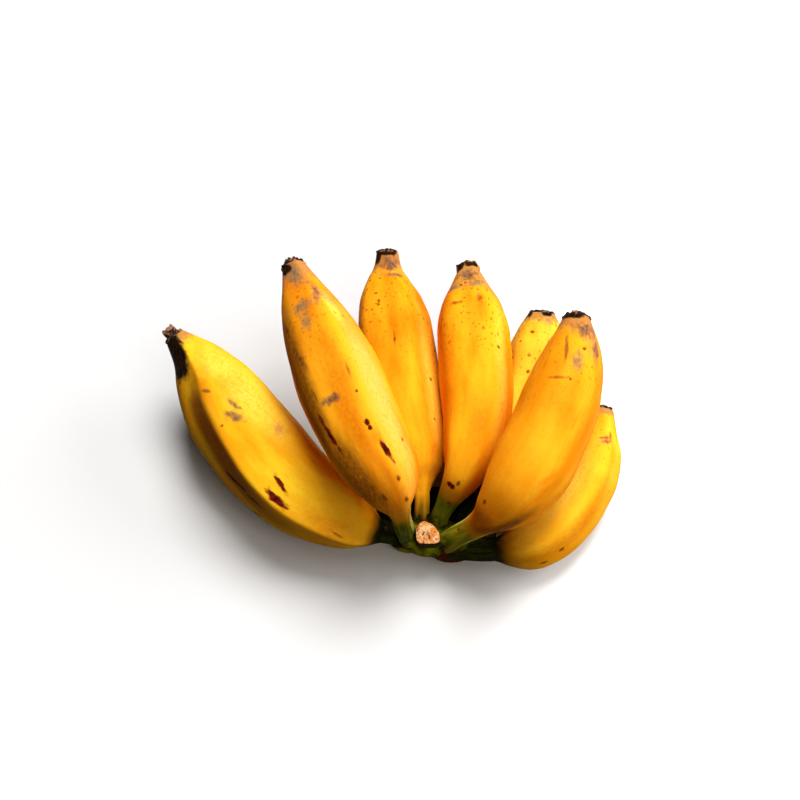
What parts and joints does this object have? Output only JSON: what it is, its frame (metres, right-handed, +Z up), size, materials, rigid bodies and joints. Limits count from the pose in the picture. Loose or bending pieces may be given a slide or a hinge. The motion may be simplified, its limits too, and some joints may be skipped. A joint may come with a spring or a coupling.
{
  "type": "hand of baby bananas",
  "caption": "A hand of short, plump baby bananas on one green crown, as picked, lying on a surface. The dried blossom ends and a cut stump are still on it.",
  "frame": {"origin": "middle of the hand's bounding box on the floor that it lies on", "axes": "+Z up, +X across the hand from the banana that lies on the floor at one side to the shorter ones at the other, +Y from the crown towards the blossom ends"},
  "size_m": [0.1694, 0.1216, 0.0652],
  "materials": {
    "banana_skin": "satin, waxy ripe skin: yellow faces, brown along the ridges, green on the stalk, with bruises and freckles",
    "stalk": "satin, dark green stem tissue that turns brown and fibrous at its cut",
    "blossom_end": "matt, dry and corky",
    "cut_stalk": "matt, drying cut stalk, pinkish orange and speckled"
  },
  "bodies": {
    "root": {"crown": "stalk", "cut_stump": "cut_stalk", "banana_far_left": "banana_skin", "banana_front_left": "banana_skin", "banana_middle_left": "banana_skin", "banana_middle_right": "banana_skin", "banana_back_right": "banana_skin", "banana_front_right": "banana_skin", "banana_far_right": "banana_skin", "blossom_end_far_left": "blossom_end", "blossom_end_front_left": "blossom_end", "blossom_end_middle_left": "blossom_end", "blossom_end_middle_right": "blossom_end", "blossom_end_back_right": "blossom_end", "blossom_end_front_right": "blossom_end", "blossom_end_far_right": "blossom_end"}
  },
  "joints": []
}
